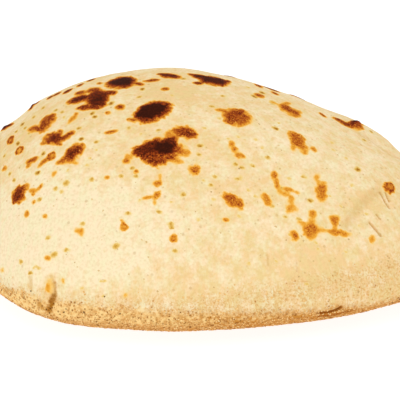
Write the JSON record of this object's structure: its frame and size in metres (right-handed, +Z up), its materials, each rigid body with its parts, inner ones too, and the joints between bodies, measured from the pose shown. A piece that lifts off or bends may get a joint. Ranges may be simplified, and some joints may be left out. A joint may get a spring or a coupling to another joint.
{
  "type": "puffed pita bread",
  "caption": "Whole pita bread puffed up like a balloon, with scorch-marked blisters, a pinched corner and a gritty flat underside.",
  "frame": {"origin": "middle of the bounding box, on the plane the bread rests on", "axes": "+X towards the low far end, away from the steep end under the crown; -Y is the front, with the pinched corner; +Z up"},
  "size_m": [0.1978, 0.1662, 0.0778],
  "materials": {
    "bread_crust": "matt baked flour crust, pale cream with golden to near-black scorch marks and a gritty tan underside"
  },
  "bodies": {
    "root": {"pita_bread": "bread_crust"}
  },
  "joints": []
}
